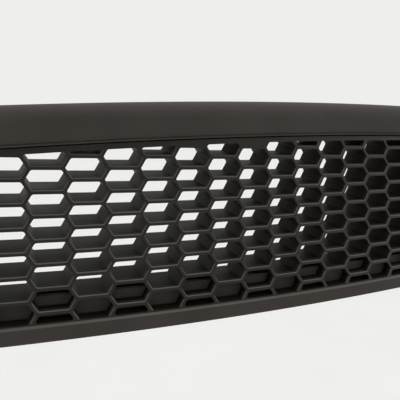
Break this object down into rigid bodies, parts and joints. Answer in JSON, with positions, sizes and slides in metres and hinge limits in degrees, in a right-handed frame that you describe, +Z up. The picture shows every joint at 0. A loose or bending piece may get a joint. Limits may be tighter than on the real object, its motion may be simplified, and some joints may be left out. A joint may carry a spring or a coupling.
{
  "type": "car front grille",
  "caption": "Black honeycomb car front grille: bowed, raked insert under a smooth arched upper rail, with a lower lip, end cheeks, top brackets and push-pin retainers.",
  "frame": {"origin": "middle of the flat underside of the centre bracket, where it rests on the car's front panel", "axes": "+X across the car (to the right as seen from in front), +Y to the car's rear along the honeycomb's openings, +Z up"},
  "size_m": [0.8642, 0.1241, 0.1298],
  "materials": {
    "moulded_abs": "satin, fine moulded grain",
    "black_nylon": "matte",
    "zinc_steel": "zinc plated",
    "grey_foam": "open-cell foam"
  },
  "bodies": {
    "grille": {"bracket_1": "zinc_steel", "bracket_2": "zinc_steel", "bracket_3": "zinc_steel", "bracket_4": "zinc_steel", "bracket_5": "zinc_steel", "bracket_screw_1": "zinc_steel", "bracket_screw_10": "zinc_steel", "bracket_screw_2": "zinc_steel", "bracket_screw_3": "zinc_steel", "bracket_screw_4": "zinc_steel", "bracket_screw_5": "zinc_steel", "bracket_screw_6": "zinc_steel", "bracket_screw_7": "zinc_steel", "bracket_screw_8": "zinc_steel", "bracket_screw_9": "zinc_steel", "end_cheek_left": "moulded_abs", "end_cheek_right": "moulded_abs", "end_screw_1": "zinc_steel", "end_screw_2": "zinc_steel", "end_screw_3": "zinc_steel", "end_screw_4": "zinc_steel", "foam_seal": "grey_foam", "honeycomb_insert": "moulded_abs", "lip_screw_1": "zinc_steel", "lip_screw_2": "zinc_steel", "lip_screw_3": "zinc_steel", "lip_screw_4": "zinc_steel", "lip_screw_5": "zinc_steel", "lip_screw_6": "zinc_steel", "lower_channel": "moulded_abs", "lower_lip": "moulded_abs", "rail_screw_1": "zinc_steel", "rail_screw_2": "zinc_steel", "rail_screw_3": "zinc_steel", "rail_screw_4": "zinc_steel", "rail_screw_5": "zinc_steel", "rail_screw_6": "zinc_steel", "retainer_body_1": "black_nylon", "retainer_body_2": "black_nylon", "retainer_body_3": "black_nylon", "retainer_body_4": "black_nylon", "retainer_body_5": "black_nylon", "u_nut_1": "zinc_steel", "u_nut_2": "zinc_steel", "u_nut_3": "zinc_steel", "u_nut_4": "zinc_steel", "upper_rail": "moulded_abs"},
    "retainer_pin_1": {"retainer_pin_1": "black_nylon"},
    "retainer_pin_2": {"retainer_pin_2": "black_nylon"},
    "retainer_pin_3": {"retainer_pin_3": "black_nylon"},
    "retainer_pin_4": {"retainer_pin_4": "black_nylon"},
    "retainer_pin_5": {"retainer_pin_5": "black_nylon"}
  },
  "joints": [
    {"name": "pin_1_pull", "type": "slide", "parent": "grille", "child": "retainer_pin_1", "axis": [-0.0969, 0, 0.9953], "range_m": [0, 0.006]},
    {"name": "pin_2_pull", "type": "slide", "parent": "grille", "child": "retainer_pin_2", "axis": [-0.0488, 0, 0.9988], "range_m": [0, 0.006]},
    {"name": "pin_3_pull", "type": "slide", "parent": "grille", "child": "retainer_pin_3", "axis": [0, 0, 1], "range_m": [0, 0.006]},
    {"name": "pin_4_pull", "type": "slide", "parent": "grille", "child": "retainer_pin_4", "axis": [0.0488, 0, 0.9988], "range_m": [0, 0.006]},
    {"name": "pin_5_pull", "type": "slide", "parent": "grille", "child": "retainer_pin_5", "axis": [0.0969, 0, 0.9953], "range_m": [0, 0.006]}
  ]
}
